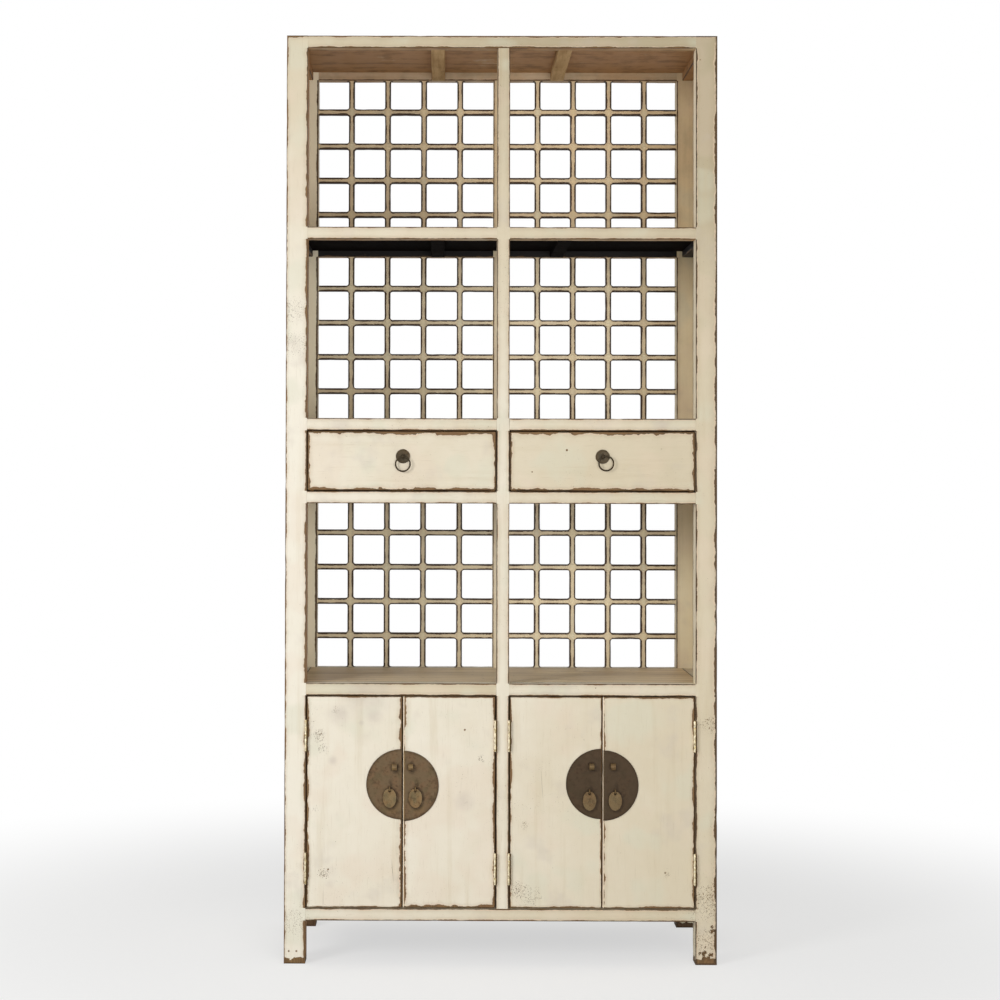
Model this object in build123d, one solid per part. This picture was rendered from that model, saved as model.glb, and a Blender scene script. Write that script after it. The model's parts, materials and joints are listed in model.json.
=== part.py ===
from build123d import *
from math import cos, radians
import os

# A painted wooden book cabinet: a mortised post-and-rail frame with open bays,
# lattice backs, two drawers and two cupboards with paired doors.
# Millimetres; x to the viewer's right, the front faces -y, z up from the floor.

# Outside of the cabinet
height = 1950
width = 907
depth = 400

# Frame
post_width = 45
stile_width = 27
stile_shift = 4           # centre stiles stand this far right of the middle
rail_height = 26
rail_depth = 30
side_rail_set_back = 12   # side rails' inner faces behind the posts' inner faces
leg_height = 90

# Clear heights between rails, from the legs up; the upper bay takes the rest
cupboard_height = 445
lower_bay_height = 377
drawer_bay_height = 127.5
middle_bay_height = 377

# Frame joints
tenon_thickness = 10
tenon_length = 20
tenon_shoulder = 5        # wood left on each side of a tenon
side_tenon_length = 18
short_tenon_share = 0.4   # of the stile's width, for a rail that butts on it
stile_tenon_length = 12

# Boards and panels
board_thickness = 12
top_panel_thickness = 8
board_tongue = 6
batten_width = 30
batten_span = 270         # between the centre lines of a board's two battens
side_panel_thickness = 7
side_panel_inset = 2      # outer face behind the posts' outer faces
back_board_thickness = 8
panel_tongue = 4

# Lattice
bars_each_way = 4
bar_width = 13.5
bar_depth = 14
bar_socket = 8

# Drawers
drawer_gap = 1.75         # round each drawer front
front_thickness = 18
drawer_wood = 10          # sides and back
drawer_bottom_thickness = 5
drawer_bottom_lift = 8    # underside of the bottom above the sides' lower edges
drawer_groove = 4
drawer_side_inset = 2     # sides behind the ends of the front
drawer_top_drop = 5       # sides' upper edges below the front's
drawer_back_space = 12
drawer_stop_gap = 2.5     # between a stop and the drawer's bottom
guide_height = 20
guide_gap = 0.75
sliding_gap = 0.3

# Doors
door_gap = 2
meeting_shifts = {"left": 3.5, "right": 0}  # where two doors meet, right of their bay's middle
door_thickness = 18
door_batten_height = 36
door_batten_thickness = 12
door_batten_sink = 4
door_batten_inset = 70    # from the door's ends to its battens
stop_size = 10
stop_length = 50

# Butt hinges
hinge_length = 63
hinge_inset = 50          # from the door's ends to its hinges
knuckle_radius = 3.5
knuckle_count = 5
knuckle_gap = 0.3
pin_radius = 1.5
pin_button_radius = 2.8
leaf_thickness = 1.5
leaf_depth = 20

# Brass and iron fittings
plate_thickness = 1.5
lock_plate_radius = 73.5
lock_plate_heights = {"left": 256, "right": 258}   # centres above the doors' lower edges
lock_plate_step = 1.6     # left halves sit this much higher, right halves lower
lock_plate_inset = 1.5    # from the doors' meeting edges
lock_staple_rise = 38.5   # above the plate's centre
lock_staple_offsets = {"left": 17, "right": 22.5}  # from the meeting line
lock_staple_radius = 7
lock_bar_radius = 4
lock_staple_width = 10
lock_staple_shank_radius = 2.1
leaf_offset = 27
leaf_eye_drops = {"left": 7, "right": 13.5}    # below the plate's centre
leaf_width = 28
leaf_length = 39
leaf_pull_thickness = 2
leaf_hole_gap = 1         # round the eye's wire
leaf_top_margin = 1.8     # metal above the hole
# Half of a leaf's edge from the top: shares of the half width and of the length
leaf_edge = ((0.24, 0), (0.72, 0.12), (1, 0.42), (0.66, 0.78), (0, 1))
eye_radius = 4.2          # to the middle of its wire
eye_wire_radius = 1.3
shank_length = 14
pull_plate_radius = 15
pull_rise = 9.5           # above the middle of the drawer front
pull_shifts = {"left": 2.5, "right": 0}     # right of the middle of the bay
ring_radius = 15.35       # to the middle of its wire
ring_wire_radius = 1.65
ring_leans = {"left": 0, "right": 28}    # degrees that a ring hangs to the right
fit_gap = 0.05            # round a pin or a shank

# Places worked out from the sizes above
eye_reach = eye_radius + eye_wire_radius
hinge_reach = knuckle_radius + sliding_gap
fitting_reach = plate_thickness + 2 * max(lock_staple_radius, eye_reach)
front_reach = max(fitting_reach, hinge_reach + knuckle_radius)
front_y = (front_reach - depth) / 2
back_y = front_y + depth
inner_front_y = front_y + rail_depth
inner_back_y = back_y - post_width
post_x = width / 2 - post_width
stile_left = stile_shift - stile_width / 2
stile_right = stile_shift + stile_width / 2
side_rail_x = post_x + side_rail_set_back
plate_front_y = front_y - plate_thickness
eye_y = plate_front_y - eye_reach
hinge_y = front_y - hinge_reach

bays = {"left": (-post_x, stile_left), "right": (stile_right, post_x)}
sides = {"left": -1, "right": 1}

cupboard_top_z = leg_height + rail_height + cupboard_height
drawer_bottom_z = cupboard_top_z + rail_height + lower_bay_height
drawer_top_z = drawer_bottom_z + rail_height + drawer_bay_height
shelf_z = drawer_top_z + rail_height + middle_bay_height
top_z = height - rail_height
between_levels = {
    "cupboard_top": cupboard_top_z,
    "drawer_bottom": drawer_bottom_z,
    "drawer_top": drawer_top_z,
    "shelf": shelf_z,
}
rail_levels = [leg_height, *between_levels.values(), top_z]
open_bays = {
    "lower": (drawer_bottom_z - lower_bay_height, drawer_bottom_z),
    "middle": (shelf_z - middle_bay_height, shelf_z),
    "upper": (shelf_z + rail_height, top_z),
}
closed_bays = [
    (leg_height + rail_height, cupboard_top_z),
    (drawer_bottom_z + rail_height, drawer_top_z),
]


def block(x_span, y_span, z_span):
    """A box between two places on each axis, given in either order."""
    spans = [sorted(span) for span in (x_span, y_span, z_span)]
    middle = [(low + high) / 2 for low, high in spans]
    sizes = [high - low for low, high in spans]
    return Pos(*middle) * Box(*sizes)


def rod(radius, start, direction, length):
    """A round rod from a place, along a direction."""
    return extrude(Plane(start, z_dir=direction) * Circle(radius), length)


def boxes_meet(one, other):
    """Whether the bounding boxes of two pieces share any room."""
    first, second = one.bounding_box(), other.bounding_box()
    starts_before = all(low < high for low, high in zip(first.min, second.max))
    ends_after = all(high > low for high, low in zip(first.max, second.min))
    return starts_before and ends_after


def housed(body, pieces):
    """The body with a seat cut for each piece that enters it."""
    seated = [piece for piece in pieces if boxes_meet(body, piece)]
    return body - seated if seated else body


def tenon_span(low, size):
    """The span of a tenon's thickness in the middle of a member."""
    centre = low + size / 2
    return (centre - tenon_thickness / 2, centre + tenon_thickness / 2)


# Frame rails

def rail_with_tenons(x_span, end_lengths, y_low, z):
    """A rail along x; each end has a tenon of its own length."""
    rail = block(x_span, (y_low, y_low + rail_depth), (z, z + rail_height))
    tenon = block(
        (x_span[0] - end_lengths[0], x_span[1] + end_lengths[1]),
        tenon_span(y_low, rail_depth),
        (z + tenon_shoulder, z + rail_height - tenon_shoulder),
    )
    return rail + tenon


def full_rail(y_low, z):
    return rail_with_tenons((-post_x, post_x), (tenon_length, tenon_length), y_low, z)


def half_rails(y_low, z):
    """The two lengths of rail that butt on the centre stile."""
    short = short_tenon_share * stile_width
    left = rail_with_tenons(bays["left"], (tenon_length, short), y_low, z)
    right = rail_with_tenons(bays["right"], (short, tenon_length), y_low, z)
    return [left, right]


def side_rail(side, z):
    """A rail from a front post to a back post."""
    inner, outer = side * side_rail_x, side * width / 2
    rail = block((inner, outer), (front_y + post_width, inner_back_y), (z, z + rail_height))
    tenon = block(
        tenon_span(min(inner, outer), abs(outer - inner)),
        (front_y + post_width - side_tenon_length, inner_back_y + side_tenon_length),
        (z + tenon_shoulder, z + rail_height - tenon_shoulder),
    )
    return rail + tenon


def centre_stile(y_low):
    """A stile between the top and bottom rails, with a tenon at each end."""
    x_span = (stile_left, stile_right)
    stile = block(x_span, (y_low, y_low + rail_depth), (leg_height + rail_height, top_z))
    tenon = block(
        (stile_left + tenon_shoulder, stile_right - tenon_shoulder),
        tenon_span(y_low, rail_depth),
        (leg_height + rail_height - stile_tenon_length, top_z + stile_tenon_length),
    )
    return stile + tenon


def post(side, is_front):
    y_low = front_y if is_front else inner_back_y
    return block((side * post_x, side * width / 2), (y_low, y_low + post_width), (0, height))


# Boards, battens and panels

def board(z, thickness, posts):
    """A board flush with the rail tops, with a tongue all round its lower half."""
    top = z + rail_height
    body = block((-side_rail_x, side_rail_x), (inner_front_y, inner_back_y), (top - thickness, top))
    tongue = block(
        (-side_rail_x - board_tongue, side_rail_x + board_tongue),
        (inner_front_y - board_tongue, inner_back_y + board_tongue),
        (top - thickness, top - thickness / 2),
    )
    return housed(body + tongue, posts)


def battens(z, thickness):
    """Two front-to-back battens under a board, their ends let into the rails."""
    pieces = []
    for side in (-1, 1):
        centre = side * batten_span / 2
        pieces.append(block(
            (centre - batten_width / 2, centre + batten_width / 2),
            (inner_front_y - board_tongue, inner_back_y + board_tongue),
            (z, z + rail_height - thickness),
        ))
    return pieces


def side_panel(side, z_low, z_high):
    outer = width / 2 - side_panel_inset
    return block(
        (side * outer, side * (outer - side_panel_thickness)),
        (front_y + post_width - panel_tongue, inner_back_y + panel_tongue),
        (z_low - panel_tongue, z_high + panel_tongue),
    )


def back_board(bay, z_low, z_high):
    x_low, x_high = bays[bay]
    middle = inner_back_y + rail_depth / 2
    return block(
        (x_low - panel_tongue, x_high + panel_tongue),
        (middle - back_board_thickness / 2, middle + back_board_thickness / 2),
        (z_low - panel_tongue, z_high + panel_tongue),
    )


# Lattice

def bar_places(low, high):
    """Spans of the bars that part a clear width into equal cells."""
    cell = (high - low - bars_each_way * bar_width) / (bars_each_way + 1)
    starts = [low + (i + 1) * cell + i * bar_width for i in range(bars_each_way)]
    return [(start, start + bar_width) for start in starts]


def lattice(bay, level):
    """Upright and level bars halved over one another, the uprights in front."""
    x_low, x_high = bays[bay]
    z_low, z_high = open_bays[level]
    middle = inner_back_y + rail_depth / 2
    y_front, y_back = middle - bar_depth / 2, middle + bar_depth / 2
    x_places = bar_places(x_low, x_high)
    z_places = bar_places(z_low, z_high)
    bars = []
    for x_span in x_places:
        bar = block(x_span, (y_front, y_back), (z_low - bar_socket, z_high + bar_socket))
        bars.append(bar - [block(x_span, (middle, y_back), z_span) for z_span in z_places])
    for z_span in z_places:
        bar = block((x_low - bar_socket, x_high + bar_socket), (y_front, y_back), z_span)
        bars.append(bar - [block(x_span, (y_front, middle), z_span) for x_span in x_places])
    return bars


# Fittings that more than one piece uses

def eye_staple(x, z):
    """A wire eye standing in front of a plate, with a shank into the wood."""
    eye = Pos(x, eye_y, z) * Rot(0, 90, 0) * Torus(eye_radius, eye_wire_radius)
    start = eye_y + eye_radius
    shank = rod(eye_wire_radius, (x, start, z), (0, 1, 0), front_y + shank_length - start)
    return eye + shank


def shank_hole(radius, x, z):
    """The hole that a shank needs through a plate and into the wood."""
    length = plate_thickness + shank_length + fit_gap
    return rod(radius + fit_gap, (x, plate_front_y, z), (0, 1, 0), length)


# Drawers

drawer_floor_z = drawer_bottom_z + rail_height
front_low_z = drawer_floor_z + drawer_gap
front_high_z = drawer_top_z - drawer_gap
pull_x = {bay: (x_low + x_high) / 2 + pull_shifts[bay] for bay, (x_low, x_high) in bays.items()}
pull_z = (front_low_z + front_high_z) / 2 + pull_rise
ring_seat = eye_wire_radius + ring_wire_radius + sliding_gap
ring_hang_z = {bay: pull_z - eye_radius + ring_seat / cos(radians(ring_leans[bay])) for bay in bays}
side_low_z = drawer_floor_z + sliding_gap
side_high_z = front_high_z - drawer_top_drop
drawer_back_y = inner_back_y - drawer_back_space


def drawer_outer(bay):
    """Span of a drawer box, from the outside of one side to the other."""
    x_low, x_high = bays[bay]
    inset = drawer_gap + drawer_side_inset
    return (x_low + inset, x_high - inset)


def drawer_box(bay):
    """Two sides, a bottom in their grooves and a back standing on the bottom."""
    x_low, x_high = drawer_outer(bay)
    y_low = front_y + front_thickness - drawer_wood
    inner = (x_low + drawer_wood - drawer_groove, x_high - drawer_wood + drawer_groove)
    bottom_z = side_low_z + drawer_bottom_lift
    bottom_top = bottom_z + drawer_bottom_thickness
    bottom_y = front_y + front_thickness - drawer_groove
    bottom = block(inner, (bottom_y, drawer_back_y), (bottom_z, bottom_top))
    back_z = (bottom_top, side_high_z - drawer_groove)
    back = block(inner, (drawer_back_y - drawer_wood, drawer_back_y), back_z)
    box = [bottom, back]
    for x_span in ((x_low, x_low + drawer_wood), (x_high - drawer_wood, x_high)):
        side = block(x_span, (y_low, drawer_back_y), (side_low_z, side_high_z))
        box.append(housed(side, [bottom, back]))
    return box


def drawer_front(bay, box):
    x_low, x_high = bays[bay]
    front = block(
        (x_low + drawer_gap, x_high - drawer_gap),
        (front_y, front_y + front_thickness),
        (front_low_z, front_high_z),
    )
    return housed(front, box) - shank_hole(eye_wire_radius, pull_x[bay], pull_z)


def drawer_pull_plate(bay):
    """A round plate held by the shank of the ring's eye."""
    x = pull_x[bay]
    plate = rod(pull_plate_radius, (x, plate_front_y, pull_z), (0, 1, 0), plate_thickness)
    return [plate - shank_hole(eye_wire_radius, x, pull_z), eye_staple(x, pull_z)]


def drawer_ring(bay):
    """A ring that hangs from its eye, straight down or leaning."""
    ring = Pos(0, 0, -ring_radius) * Rot(90, 0, 0) * Torus(ring_radius, ring_wire_radius)
    return Pos(pull_x[bay], eye_y, ring_hang_z[bay]) * Rot(0, -ring_leans[bay], 0) * ring


def drawer_guides():
    """Strips on the drawers' floor that keep them straight."""
    left_outer, left_inner = drawer_outer("left")
    right_inner, right_outer = drawer_outer("right")
    z_span = (drawer_floor_z, drawer_floor_z + guide_height)
    behind_posts = (front_y + post_width, inner_back_y)
    return [
        block((-side_rail_x, left_outer - guide_gap), behind_posts, z_span),
        block((left_inner + guide_gap, right_inner - guide_gap), (inner_front_y, inner_back_y), z_span),
        block((right_outer + guide_gap, side_rail_x), behind_posts, z_span),
    ]


# Doors

door_low_z = leg_height + rail_height + door_gap
door_high_z = cupboard_top_z - door_gap


class DoorPlace:
    """Where one door hangs; hand is -1 when its hinges are on its left."""

    def __init__(self, bay, hand):
        x_low, x_high = bays[bay]
        self.hand = hand
        self.hinge_x = x_low + door_gap / 2 if hand < 0 else x_high - door_gap / 2
        self.meeting_x = (x_low + x_high) / 2 + meeting_shifts[bay]
        self.near_x = self.hinge_x - hand * door_gap / 2
        self.width = abs(self.meeting_x - self.near_x) - door_gap / 2
        self.far_x = self.near_x - hand * self.width
        self.plate_z = door_low_z + lock_plate_heights[bay]
        self.staple_x = self.from_meeting(lock_staple_offsets[bay])
        self.staple_z = self.plate_z + lock_staple_rise
        self.eye_x = self.from_meeting(leaf_offset)
        self.eye_z = self.plate_z - leaf_eye_drops[bay]

    def from_meeting(self, distance):
        """The x of a place on this door, that far from the meeting line."""
        return self.meeting_x + self.hand * distance


door_places = {
    f"{bay}_cupboard_{leaf}": DoorPlace(bay, sides[leaf])
    for bay in bays
    for leaf in sides
}


def hinge_starts():
    """Lower ends of the lower and the upper hinge of a door."""
    return (door_low_z + hinge_inset, door_high_z - hinge_inset - hinge_length)


def hinge_leaf(place, start_z, wood_side, first):
    """A leaf let into an edge; its knuckles are every other one from the first."""
    x_near = place.hinge_x + wood_side * door_gap / 2
    x_span = (x_near, x_near + wood_side * leaf_thickness)
    leaf = block(x_span, (front_y, front_y + leaf_depth), (start_z, start_z + hinge_length))
    length = (hinge_length - (knuckle_count - 1) * knuckle_gap) / knuckle_count
    for i in range(first, knuckle_count, 2):
        low = start_z + i * (length + knuckle_gap)
        leaf += rod(knuckle_radius, (place.hinge_x, hinge_y, low), (0, 0, 1), length)
        leaf += block(x_span, (hinge_y, front_y), (low, low + length))
    return leaf - rod(pin_radius + fit_gap, (place.hinge_x, hinge_y, start_z), (0, 0, 1), hinge_length)


def hinge_pin(place, start_z):
    """A pin with a button on each end."""
    button_height = pin_radius
    pin = rod(pin_radius, (place.hinge_x, hinge_y, start_z), (0, 0, 1), hinge_length)
    for low in (start_z - button_height, start_z + hinge_length):
        pin += rod(pin_button_radius, (place.hinge_x, hinge_y, low), (0, 0, 1), button_height)
    return pin


def door_hinge_leaves(place):
    return [hinge_leaf(place, z, -place.hand, 1) for z in hinge_starts()]


def frame_hinge_leaves(place):
    return [hinge_leaf(place, z, place.hand, 0) for z in hinge_starts()]


def door(place, leaves):
    """A board door with two battens sunk into its back."""
    x_span = (place.near_x, place.far_x)
    panel = block(x_span, (front_y, front_y + door_thickness), (door_low_z, door_high_z))
    margin = door_thickness
    batten_x = (place.near_x - place.hand * margin, place.far_x + place.hand * margin)
    low_y = front_y + door_thickness - door_batten_sink
    pieces = []
    for low in (door_low_z + door_batten_inset, door_high_z - door_batten_inset - door_batten_height):
        y_span = (low_y, low_y + door_batten_thickness)
        pieces.append(block(batten_x, y_span, (low, low + door_batten_height)))
    holes = [
        shank_hole(lock_staple_shank_radius, place.staple_x, place.staple_z),
        shank_hole(eye_wire_radius, place.eye_x, place.eye_z),
    ]
    return [housed(panel, pieces + leaves) - holes, *pieces]


def lock_staple(x, z):
    """A short tube that the lock bar slides through, on a shank."""
    y = plate_front_y - lock_staple_radius
    start = (x - lock_staple_width / 2, y, z)
    tube = rod(lock_staple_radius, start, (1, 0, 0), lock_staple_width)
    tube -= rod(lock_bar_radius, start, (1, 0, 0), lock_staple_width)
    wall_y = plate_front_y - (lock_staple_radius - lock_bar_radius) / 2
    length = front_y + shank_length - wall_y
    return tube + rod(lock_staple_shank_radius, (x, wall_y, z), (0, 1, 0), length)


def lock_plate(place):
    """Half of a round plate, with the lock staple and the leaf pull's eye."""
    straight_x = place.far_x + place.hand * lock_plate_inset
    centre_z = place.plate_z - place.hand * lock_plate_step
    disc = rod(lock_plate_radius, (straight_x, plate_front_y, centre_z), (0, 1, 0), plate_thickness)
    reach = 2 * lock_plate_radius
    half = disc & block(
        (straight_x, place.from_meeting(reach)),
        (plate_front_y, front_y),
        (centre_z - reach, centre_z + reach),
    )
    half -= shank_hole(lock_staple_shank_radius, place.staple_x, place.staple_z)
    half -= shank_hole(eye_wire_radius, place.eye_x, place.eye_z)
    return [half, lock_staple(place.staple_x, place.staple_z), eye_staple(place.eye_x, place.eye_z)]


def leaf_pull(place):
    """A leaf-shaped plate hung by a hole on the eye's wire."""
    hole_radius = eye_wire_radius + leaf_hole_gap
    hole_z = -(eye_radius + leaf_hole_gap - sliding_gap)
    top = hole_z + hole_radius + leaf_top_margin
    points = [(across * leaf_width / 2, top - down * leaf_length) for across, down in leaf_edge]
    profile = make_face([Spline(*points), Polyline(points[-1], (0, top), points[0])])
    profile += mirror(profile, Plane.YZ)
    profile -= Pos(0, hole_z) * Circle(hole_radius)
    origin = (place.eye_x, eye_y + leaf_pull_thickness / 2, place.eye_z)
    return extrude(Plane(origin, x_dir=(1, 0, 0), z_dir=(0, -1, 0)) * profile, leaf_pull_thickness)


def stops():
    """Blocks that the doors and the drawers close on."""
    pieces = []
    for x_low, x_high in bays.values():
        x_middle = (x_low + x_high) / 2
        x_span = (x_middle - stop_length / 2, x_middle + stop_length / 2)
        door_y = (front_y + door_thickness + sliding_gap, inner_front_y)
        pieces.append(block(x_span, door_y, (cupboard_top_z - stop_size, cupboard_top_z)))
        low = leg_height + rail_height
        pieces.append(block(x_span, door_y, (low, low + stop_size)))
        drawer_y = (front_y + front_thickness + sliding_gap, inner_front_y)
        stop_height = sliding_gap + drawer_bottom_lift - drawer_stop_gap
        pieces.append(block(x_span, drawer_y, (drawer_floor_z, drawer_floor_z + stop_height)))
    return pieces


def save(node, pieces):
    """Write the pieces of one node as separate solids."""
    solids = [solid for piece in pieces for solid in piece.solids()]
    export_step(Compound(solids), f"parts/{node}.step")


def save_frame():
    """Everything that doesn't move."""
    posts = {(end, side): post(sides[side], end == "front") for end in ("front", "back") for side in sides}
    boards = {
        "cupboard_floor_board": board(leg_height, board_thickness, posts.values()),
        "cupboard_top_board": board(cupboard_top_z, board_thickness, posts.values()),
        "drawer_floor_board": board(drawer_bottom_z, board_thickness, posts.values()),
        "drawer_top_board": board(drawer_top_z, board_thickness, posts.values()),
        "shelf_board": board(shelf_z, board_thickness, posts.values()),
        "top_panel": board(top_z, top_panel_thickness, posts.values()),
    }
    all_battens = battens(top_z, top_panel_thickness)
    for z in rail_levels[:-1]:
        all_battens += battens(z, board_thickness)
    bay_heights = sorted([*closed_bays, *open_bays.values()])
    side_panels = {side: [side_panel(sides[side], *span) for span in bay_heights] for side in sides}
    back_boards = [back_board(bay, *span) for bay in bays for span in closed_bays]
    lattices = {(bay, level): lattice(bay, level) for bay in bays for level in open_bays}
    all_bars = [bar for bars in lattices.values() for bar in bars]
    boarding = [*boards.values(), *all_battens, *back_boards, *all_bars]

    stiles = {"front": centre_stile(front_y), "back": centre_stile(inner_back_y)}
    full_rails = {
        "top_front_rail": full_rail(front_y, top_z),
        "bottom_front_rail": full_rail(front_y, leg_height),
    }
    short_rails = {name: half_rails(front_y, z) for name, z in between_levels.items()}
    full_back_rails = [full_rail(inner_back_y, leg_height), full_rail(inner_back_y, top_z)]
    short_back_rails = [rail for z in between_levels.values() for rail in half_rails(inner_back_y, z)]
    rails_along = [*full_rails.values(), *full_back_rails, *short_back_rails]
    rails_along += [rail for pair in short_rails.values() for rail in pair]
    side_rails = {side: [side_rail(sides[side], z) for z in rail_levels] for side in sides}
    leaves = [leaf for place in door_places.values() for leaf in frame_hinge_leaves(place)]
    pins = [hinge_pin(place, z) for place in door_places.values() for z in hinge_starts()]

    for name, rail in full_rails.items():
        save(name, [housed(rail, [*boarding, stiles["front"]])])
    for name, pair in short_rails.items():
        save(f"{name}_front_rails", [housed(rail, boarding) for rail in pair])
    seated_back_rails = [housed(rail, [*boarding, stiles["back"]]) for rail in full_back_rails]
    save("back_rails", seated_back_rails + [housed(rail, boarding) for rail in short_back_rails])
    entering = [rail for pair in short_rails.values() for rail in pair] + short_back_rails
    for end, stile in stiles.items():
        save(f"{end}_centre_stile", [housed(stile, [*entering, *boarding, *leaves])])
    for side, pieces in side_rails.items():
        seats = [*boards.values(), *side_panels[side]]
        save(f"{side}_side_rails", [housed(rail, seats) for rail in pieces])
        save(f"{side}_side_panels", side_panels[side])
    for (end, side), body in posts.items():
        seats = [*rails_along, *side_rails[side], *side_panels[side], *back_boards, *all_bars, *leaves]
        save(f"{end}_{side}_post", [housed(body, seats)])
    for name, piece in boards.items():
        save(name, [piece])
    for (bay, level), bars in lattices.items():
        save(f"{level}_{bay}_lattice", bars)
    save("board_battens", all_battens)
    save("back_boards", back_boards)
    save("frame_hinge_leaves", leaves + pins)
    save("drawer_guides", drawer_guides())
    save("stops", stops())


def save_drawers():
    for bay in bays:
        box = drawer_box(bay)
        save(f"{bay}_drawer_front", [drawer_front(bay, box)])
        save(f"{bay}_drawer_box", box)
        save(f"{bay}_pull_plate", drawer_pull_plate(bay))
        save(f"{bay}_pull_ring", [drawer_ring(bay)])


def save_doors():
    for name, place in door_places.items():
        leaves = door_hinge_leaves(place)
        save(f"{name}_door", door(place, leaves))
        save(f"{name}_hinge_leaves", leaves)
        save(f"{name}_lock_plate", lock_plate(place))
        save(f"{name}_leaf_pull", [leaf_pull(place)])


os.makedirs("parts", exist_ok=True)
save_frame()
save_drawers()
save_doors()
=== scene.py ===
import json
import math

import bmesh
import bpy
from mathutils import Matrix, Vector, noise


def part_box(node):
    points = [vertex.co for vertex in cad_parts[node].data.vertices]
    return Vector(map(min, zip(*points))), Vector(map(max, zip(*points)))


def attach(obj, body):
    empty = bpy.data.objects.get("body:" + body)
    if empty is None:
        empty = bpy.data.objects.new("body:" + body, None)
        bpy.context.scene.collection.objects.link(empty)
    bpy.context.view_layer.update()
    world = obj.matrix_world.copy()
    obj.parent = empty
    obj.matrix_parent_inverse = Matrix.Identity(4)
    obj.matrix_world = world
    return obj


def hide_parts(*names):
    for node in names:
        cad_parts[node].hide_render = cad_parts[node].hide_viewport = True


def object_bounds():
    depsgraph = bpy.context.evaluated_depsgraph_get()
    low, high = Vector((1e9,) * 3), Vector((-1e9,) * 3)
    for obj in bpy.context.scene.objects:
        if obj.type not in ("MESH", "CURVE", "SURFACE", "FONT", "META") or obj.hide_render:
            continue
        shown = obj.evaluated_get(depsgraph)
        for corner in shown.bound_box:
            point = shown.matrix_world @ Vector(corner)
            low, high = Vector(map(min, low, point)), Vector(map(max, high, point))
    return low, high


# A painted book cabinet: worn cream paint over brown wood, aged brass on the doors and drawers.
# Metres, in the CAD frame: x to the viewer's right, the front faces -y, z up.

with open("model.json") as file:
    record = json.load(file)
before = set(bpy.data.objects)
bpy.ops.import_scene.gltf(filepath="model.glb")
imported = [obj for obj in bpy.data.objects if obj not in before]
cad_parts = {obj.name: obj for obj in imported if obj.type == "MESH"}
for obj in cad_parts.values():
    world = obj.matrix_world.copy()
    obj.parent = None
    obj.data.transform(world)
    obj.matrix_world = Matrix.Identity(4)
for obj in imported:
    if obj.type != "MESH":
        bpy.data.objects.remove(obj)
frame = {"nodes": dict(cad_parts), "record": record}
cadLow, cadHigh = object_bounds()
mm = 0.001


def screenColour(red, green, blue):
    # a colour as a picker shows it, 0 to 255, as the linear values that a shader takes
    def linear(value):
        value /= 255
        return value / 12.92 if value <= 0.04045 else ((value + 0.055) / 1.055) ** 2.4
    return (linear(red), linear(green), linear(blue), 1.0)


class Wire:
    # a socket that can stand in a sum
    def __init__(self, nodes, socket):
        self.nodes = nodes
        self.socket = socket

    def output(self, name):
        # another output of the same node
        return Wire(self.nodes, self.socket.node.outputs[name])

    def __add__(self, other):
        return self.nodes.maths("ADD", self, other)

    def __radd__(self, other):
        return self.nodes.maths("ADD", other, self)

    def __sub__(self, other):
        return self.nodes.maths("SUBTRACT", self, other)

    def __rsub__(self, other):
        return self.nodes.maths("SUBTRACT", other, self)

    def __mul__(self, other):
        return self.nodes.maths("MULTIPLY", self, other)

    def __rmul__(self, other):
        return self.nodes.maths("MULTIPLY", other, self)

    def __truediv__(self, other):
        return self.nodes.maths("DIVIDE", self, other)

    def __rtruediv__(self, other):
        return self.nodes.maths("DIVIDE", other, self)


class Nodes:
    # a tree of nodes, which all come from node()
    def __init__(self, tree):
        self.tree = tree
        tree.nodes.clear()

    def node(self, kind, sockets=None, output=0, **settings):
        made = self.tree.nodes.new("ShaderNode" + kind)
        for name, value in settings.items():
            setattr(made, name, value)
        for name, value in (sockets or {}).items():
            if isinstance(value, Wire):
                self.tree.links.new(value.socket, made.inputs[name])
            else:
                made.inputs[name].default_value = value
        return Wire(self, made.outputs[output]) if made.outputs else None

    def maths(self, operation, *values):
        return self.node("Math", dict(enumerate(values)), operation=operation)

    def vector(self, operation, *values):
        return self.node("VectorMath", dict(enumerate(values)), operation=operation)

    def mix(self, factor, first, second):
        return self.node("Mix", {0: factor, 6: first, 7: second}, output=2, data_type="RGBA")

    def fade(self, value, start, end):
        # 0 at start, 1 at end, smooth between them
        sockets = {"Value": value, "From Min": start, "From Max": end}
        return self.node("MapRange", sockets, interpolation_type="SMOOTHSTEP")

    def axes(self, vector):
        made = self.node("SeparateXYZ", {0: vector})
        return [made.output(i) for i in range(3)]


class Finish(Nodes):
    # one material, which reads its piece's own place and the numbers that are stored on its mesh
    def __init__(self, name):
        self.material = bpy.data.materials.new(name)
        self.material.use_nodes = True
        super().__init__(self.material.node_tree)
        self.place = self.node("TexCoord", output="Object")

    def number(self, name):
        return self.node("Attribute", output="Fac", attribute_name=name)

    def point(self, name):
        return self.node("Attribute", output="Vector", attribute_name=name)

    def seeded(self):
        # a place in the noise that differs from board to board
        return self.vector("ADD", self.place, self.point("seed"))

    def along(self):
        # the same, drawn out along the board
        return self.vector("MULTIPLY", self.seeded(), self.point("stretch"))

    def clouds(self, where, sizes):
        # one noise for each set of scale, detail, roughness and distortion
        names = ("Scale", "Detail", "Roughness", "Distortion")
        return [self.node("TexNoise", {"Vector": where, **dict(zip(names, size))}) for size in sizes.values()]

    def surface(self, colour, roughness, height, depth, **sockets):
        bump = self.node("Bump", {"Height": height, "Distance": depth, "Strength": 1.0})
        shader = {"Base Color": colour, "Roughness": roughness, "Normal": bump}
        shader.update({name.replace("_", " "): value for name, value in sockets.items()})
        return self.finished(self.node("BsdfPrincipled", shader))

    def finished(self, shader):
        self.node("OutputMaterial", {"Surface": shader})
        return self.material


def coloursOf(look):
    # a look's colours are its tuples
    return {key: screenColour(*value) for key, value in look.items() if isinstance(value, tuple)}


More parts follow.
